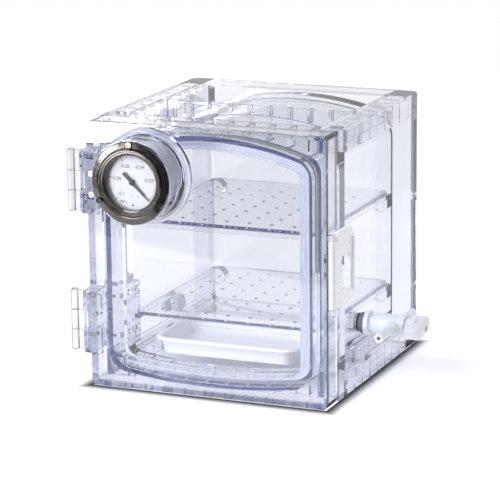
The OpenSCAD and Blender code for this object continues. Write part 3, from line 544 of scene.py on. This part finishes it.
# two closed shells that overlap. A ring is two half circles of halfWide whose middles stand
# halfLong - halfWide to either side, and the rings follow one another outwards from the inner face
def makeHandle(look, turn):
    plugLow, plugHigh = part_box("valve_plug")
    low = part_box("valve_handle")[0]
    axisY, axisZ = (plugLow.y + plugHigh.y) / 2, (plugLow.z + plugHigh.z) / 2
    lean = math.radians(turn)
    around = np.linspace(0, 2 * np.pi, look["around"], endpoint=False)
    meshes = []
    for part in ("paddle", "hub"):
        rings = []
        for halfLong, halfWide, out in look[part]:
            along = halfWide * np.sin(around) + np.sign(np.round(np.sin(around), 6)) * (halfLong - halfWide)
            across = halfWide * np.cos(around)
            # the paddle's long side lies along y, leaning by the handle's turn about the valve's axis
            y = axisY + (along * math.cos(lean) - across * math.sin(lean)) / 1000
            z = axisZ + (across * math.cos(lean) + along * math.sin(lean)) / 1000
            rings.append(np.column_stack([np.full(len(around), low.x + out / 1000), y, z]))
        meshes.append(skin(part, np.array(rings)))
    work = bmesh.new()
    for mesh in meshes:
        work.from_mesh(mesh)
        bpy.data.meshes.remove(mesh)
    bmesh.ops.recalc_face_normals(work, faces=work.faces)
    mesh = bpy.data.meshes.new("handle")
    work.to_mesh(mesh)
    work.free()
    addPiece(mesh, "handleShape", bodyOf["valve_handle"], finishes["white_plastic"],
             ["valve_handle"])


# turn of the handle at rest, from the CAD handle's own corners: the direction of its farthest point
def handleTurn():
    plugLow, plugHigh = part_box("valve_plug")
    points = np.array([tuple(v.co) for v in nodes["valve_handle"].data.vertices])
    dy, dz = points[:, 1] - (plugLow.y + plugHigh.y) / 2, points[:, 2] - (plugLow.z + plugHigh.z) / 2
    far = int(np.argmax(np.hypot(dy, dz)))
    turn = math.degrees(math.atan2(dz[far], dy[far]))
    return (turn + 90) % 180 - 90


turnAtRest = handleTurn()
makeHandle(handleLook, turnAtRest)
print("tray and handle made, handle turned", round(turnAtRest, 1), "degrees")

# dial print in mm from the dial's middle; angles from +x, turning left, seen from the front.
# major, half and minor are a tick's inner end and its half width
dialLook = {
    "zeroAngle": -45.0, "sweep": 270.0, "numbers": ["0", "-0.02", "-0.04", "-0.06", "-0.08", "-0.1"],
    "numberRadius": 17.2, "numberSize": 5.2, "unit": "MPa", "unitPlace": (-10.0, -20.0), "unitSize": 4.4,
    "divisions": 50, "tickOuter": 26.6, "major": (22.2, 0.42), "half": (23.0, 0.34), "minor": (23.8, 0.26),
    "triangle": [(-1.6, -23.6), (1.6, -23.6), (0, -21.0)], "lift": 0.04, "thick": 0.03,
}


# outline points and faces of a word, about its middle
def textShape(body, size):
    curve = bpy.data.curves.new("print", "FONT")
    curve.body = body
    curve.size = size
    curve.align_x = "CENTER"
    curve.align_y = "CENTER"
    holder = bpy.data.objects.new("print", curve)
    bpy.context.scene.collection.objects.link(holder)
    shape = bpy.data.meshes.new_from_object(holder.evaluated_get(bpy.context.evaluated_depsgraph_get()))
    bpy.data.objects.remove(holder)
    points = np.array([tuple(v.co)[:2] for v in shape.vertices])
    faces = [list(p.vertices) for p in shape.polygons]
    bpy.data.meshes.remove(shape)
    return points, faces


# ticks stand on the scale's arc and numbers inside it, both spread evenly over the sweep; the print
# is one flat shape, given a little thickness towards the front
def makeDialPrint(look):
    low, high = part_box("dial_plate")
    centre = (low + high) / 2
    points, faces = [], []

    def put(newPoints, newFaces):
        start = len(points)
        points.extend(newPoints)
        faces.extend([start + i for i in face] for face in newFaces)

    for i in range(look["divisions"] + 1):
        angle = math.radians(look["zeroAngle"] + look["sweep"] * i / look["divisions"])
        inner, halfWide = look["major" if i % 10 == 0 else "half" if i % 5 == 0 else "minor"]
        along = np.array([math.cos(angle), math.sin(angle)])
        side = np.array([-along[1], along[0]]) * halfWide
        outer = look["tickOuter"]
        put([along * inner - side, along * outer - side, along * outer + side, along * inner + side],
            [[0, 1, 2, 3]])
    for i, label in enumerate(look["numbers"]):
        angle = math.radians(look["zeroAngle"] + look["sweep"] * i / (len(look["numbers"]) - 1))
        shape, shapeFaces = textShape(label, look["numberSize"])
        put(list(shape + look["numberRadius"] * np.array([math.cos(angle), math.sin(angle)])), shapeFaces)
    shape, shapeFaces = textShape(look["unit"], look["unitSize"])
    put(list(shape + np.array(look["unitPlace"])), shapeFaces)
    put([np.array(p) for p in look["triangle"]], [[0, 1, 2]])
    flat = np.array(points) / 1000
    y = low.y - look["lift"] / 1000
    work = bmesh.new()
    verts = [work.verts.new((centre.x + p[0], y, centre.z + p[1])) for p in flat]
    for face in faces:
        if len(set(face)) == len(face):
            work.faces.new([verts[i] for i in face])
    grown = bmesh.ops.extrude_face_region(work, geom=list(work.faces))
    for item in grown["geom"]:
        if isinstance(item, bmesh.types.BMVert):
            item.co.y -= look["thick"] / 1000
    bmesh.ops.recalc_face_normals(work, faces=work.faces)
    mesh = bpy.data.meshes.new("dialPrint")
    work.to_mesh(mesh)
    work.free()
    addPiece(mesh, "dialPrint", bodyOf["dial_plate"], finishes["pointer_black"])


makeDialPrint(dialLook)

# needle outline in mm along the pointer's direction: distance and half width
needleLook = {"outline": [(-12.5, 1.7), (-9.0, 1.9), (-4.0, 1.5), (3.0, 1.35), (14.0, 1.0), (22.0, 0.35),
                          (24.4, 0.12)],
              "edge": 0.12, "hubRadius": 3.1, "hubRise": 1.35, "hubRings": 7, "hubAround": 40}


# the outline is mirrored about the pointer's line and given the pointer's thickness
def makeNeedle(look):
    low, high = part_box("pointer")
    shaftLow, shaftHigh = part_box("pinion")
    centreX, centreZ = (shaftLow.x + shaftHigh.x) / 2, (shaftLow.z + shaftHigh.z) / 2
    lean = math.radians(dialLook["zeroAngle"])
    along = np.array([math.cos(lean), math.sin(lean)]) / 1000
    side = np.array([-math.sin(lean), math.cos(lean)]) / 1000
    outline = [(d, -w) for d, w in look["outline"]] + [(d, w) for d, w in reversed(look["outline"])]
    work = bmesh.new()
    flat = [d * along + w * side for d, w in outline]
    verts = [work.verts.new((centreX + x, high.y, centreZ + z)) for x, z in flat]
    work.faces.new(verts)
    grown = bmesh.ops.extrude_face_region(work, geom=list(work.faces))
    for item in grown["geom"]:
        if isinstance(item, bmesh.types.BMVert):
            item.co.y = low.y
    bmesh.ops.recalc_face_normals(work, faces=work.faces)
    mesh = bpy.data.meshes.new("needle")
    work.to_mesh(mesh)
    work.free()
    piece = addPiece(mesh, "needleShape", bodyOf["pointer"], finishes["pointer_black"],
                     ["pointer"])
    bevel = piece.modifiers.new("roundEdges", "BEVEL")
    bevel.width = look["edge"] / 1000
    bevel.segments = 2
    # hub: a low dome, radius * cos(t) at height * sin(t), with t from 0 to hubRise
    hubLow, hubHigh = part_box("pointer_hub")
    rings = []
    around = np.linspace(0, 2 * np.pi, look["hubAround"], endpoint=False)
    for t in np.linspace(0, look["hubRise"], look["hubRings"]):
        radius = look["hubRadius"] / 1000 * math.cos(t)
        y = np.full(len(around), hubHigh.y + (hubLow.y - hubHigh.y) * math.sin(t))
        rings.append(np.column_stack([centreX + radius * np.cos(around), y, centreZ + radius * np.sin(around)]))
    addPiece(skin("hub", np.array(rings)), "hubShape", bodyOf["pointer_hub"],
             finishes["pointer_black"], ["pointer_hub"])


makeNeedle(needleLook)
print("dial print and needle made")

# floor, light and surroundings; lengths in metres. The floor carries a painted contact shadow round the cabinet's
# base: its darkest share and its width are given in the second row
stageLook = {
    "floor": (0.95, 0.95, 0.955), "glow": 0.21, "drop": 0.0006, "nearEdge": 2.0, "reach": 14.0,
    "paintedShadowDark": 0.04, "paintedShadowWide": 0.016,
    "colour": (0.99, 0.995, 1.0), "sky": 0.86, "dark": 0.12, "towards": (0.37, -0.93, 0.0),
    "darkFrom": 0.18, "darkTo": 0.70, "riseFrom": 0.30, "riseTo": 0.75,
}


# the floor starts at a line square to the camera's view, just below what the camera sees; its colour and glow hold
# a painted contact shadow round the cabinet's base
def makeFloor(look):
    mesh = bpy.data.meshes.new("floor")
    yaw = math.radians(cameraLook["yaw"])
    ahead = Vector((-math.sin(yaw), math.cos(yaw), 0))
    side = Vector((math.cos(yaw), math.sin(yaw), 0))
    start = Vector((*cameraLook["place"][:2], -look["drop"])) + ahead * look["nearEdge"]
    reach = look["reach"]
    corners = [start - side * reach, start + side * reach, start + side * reach + ahead * reach,
               start - side * reach + ahead * reach]
    mesh.from_pydata([tuple(corner) for corner in corners], [], [(0, 1, 2, 3)])
    floor = bpy.data.objects.new("floor", mesh)
    bpy.context.scene.collection.objects.link(floor)
    material, tree, shader, _ = newMaterial("floorPaperPaintedShadow")
    setShader(shader, Roughness=0.9, Specular_IOR_Level=0.1, Emission_Strength=look["glow"])
    link = tree.links.new
    # distance outside the cabinet's square base: max(|x - middle| - half width, |y| - half depth)
    shellLow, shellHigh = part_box("cabinet_shell")
    place = addNode(tree, "ShaderNodeTexCoord")
    split = addNode(tree, "ShaderNodeSeparateXYZ")
    link(place.outputs["Object"], split.inputs[0])
    middleX, halfWide = (shellLow.x + shellHigh.x) / 2, (shellHigh.x - shellLow.x) / 2
    reachOut = []
    for axis, middle, halfSize in (("X", middleX, halfWide), ("Y", 0.0, shellHigh.y)):
        shift = addNode(tree, "ShaderNodeMath", operation="SUBTRACT")
        shift.inputs[1].default_value = middle
        size = addNode(tree, "ShaderNodeMath", operation="ABSOLUTE")
        past = addNode(tree, "ShaderNodeMath", operation="SUBTRACT")
        past.inputs[1].default_value = halfSize
        link(split.outputs[axis], shift.inputs[0])
        link(shift.outputs[0], size.inputs[0])
        link(size.outputs[0], past.inputs[0])
        reachOut.append(past)
    outside = addNode(tree, "ShaderNodeMath", operation="MAXIMUM")
    link(reachOut[0].outputs[0], outside.inputs[0])
    link(reachOut[1].outputs[0], outside.inputs[1])
    # painted contact shadow: the floor's colour and glow drop to the darkest share at the base's edge and return
    # to full over the given width
    paintedShadow = addNode(tree, "ShaderNodeMapRange", interpolation_type="SMOOTHSTEP")
    paintedShadow.inputs["From Max"].default_value = look["paintedShadowWide"]
    paintedShadow.inputs["To Min"].default_value = look["paintedShadowDark"]
    link(outside.outputs[0], paintedShadow.inputs["Value"])
    # under the cabinet itself the floor stays pale, without painted shadow
    under = addNode(tree, "ShaderNodeMath", operation="LESS_THAN")
    under.inputs[1].default_value = -0.001
    link(outside.outputs[0], under.inputs[0])
    pale = addNode(tree, "ShaderNodeMath", operation="MAXIMUM")
    link(paintedShadow.outputs[0], pale.inputs[0])
    link(under.outputs[0], pale.inputs[1])
    tint(tree, pale.outputs[0], (0, 0, 0), look["floor"], shader.inputs["Base Color"])
    tint(tree, pale.outputs[0], (0, 0, 0), (1, 1, 1), shader.inputs["Emission Color"])
    mesh.materials.append(material)


# sky: bright all round, dark towards the camera's side below the height of the upper lamps
def makeSky(look):
    world = bpy.data.worlds.new("studio")
    bpy.context.scene.world = world
    world.use_nodes = True
    tree = world.node_tree
    background = tree.nodes["Background"]
    background.inputs["Color"].default_value = (*look["colour"], 1)
    place = addNode(tree, "ShaderNodeTexCoord")
    facing = addNode(tree, "ShaderNodeVectorMath", operation="DOT_PRODUCT")
    facing.inputs[1].default_value = look["towards"]
    split = addNode(tree, "ShaderNodeSeparateXYZ")
    near = addNode(tree, "ShaderNodeMapRange", interpolation_type="SMOOTHSTEP")
    near.inputs["From Min"].default_value = look["darkFrom"]
    near.inputs["From Max"].default_value = look["darkTo"]
    low = addNode(tree, "ShaderNodeMapRange", interpolation_type="SMOOTHSTEP")
    low.inputs["From Min"].default_value = look["riseTo"]
    low.inputs["From Max"].default_value = look["riseFrom"]
    both = addNode(tree, "ShaderNodeMath", operation="MULTIPLY")
    level = addNode(tree, "ShaderNodeMapRange")
    level.inputs["To Min"].default_value = look["sky"]
    level.inputs["To Max"].default_value = look["dark"]
    link = tree.links.new
    link(place.outputs["Generated"], facing.inputs[0])
    link(place.outputs["Generated"], split.inputs[0])
    link(facing.outputs["Value"], near.inputs["Value"])
    link(split.outputs["Z"], low.inputs["Value"])
    link(near.outputs["Result"], both.inputs[0])
    link(low.outputs["Result"], both.inputs[1])
    link(both.outputs["Value"], level.inputs["Value"])
    link(level.outputs["Result"], background.inputs["Strength"])


# flat lamp at place, turned to target; sizes in metres, power in watts
def makeLamp(name, place, target, size, power):
    lamp = bpy.data.lights.new(name, "AREA")
    lamp.shape = "RECTANGLE"
    lamp.size, lamp.size_y = size
    lamp.energy = power
    holder = bpy.data.objects.new(name, lamp)
    bpy.context.scene.collection.objects.link(holder)
    holder.location = place
    holder.rotation_euler = (Vector(target) - Vector(place)).to_track_quat("-Z", "Y").to_euler()


makeFloor(stageLook)
makeSky(stageLook)
makeLamp("keyLamp", (-1.1, -1.7, 1.7), (0, 0, 0.15), (1.3, 1.0), 26)
makeLamp("edgeLamp", (-0.62, -1.12, 0.13), tuple(gaugeCentre), (0.24, 0.20), 4.0)
bpy.context.scene.view_settings.view_transform = "Standard"
cycles = bpy.context.scene.cycles
cycles.max_bounces = 32
cycles.transmission_bounces = 32
cycles.transparent_max_bounces = 32
cycles.glossy_bounces = 12
print("stage made")
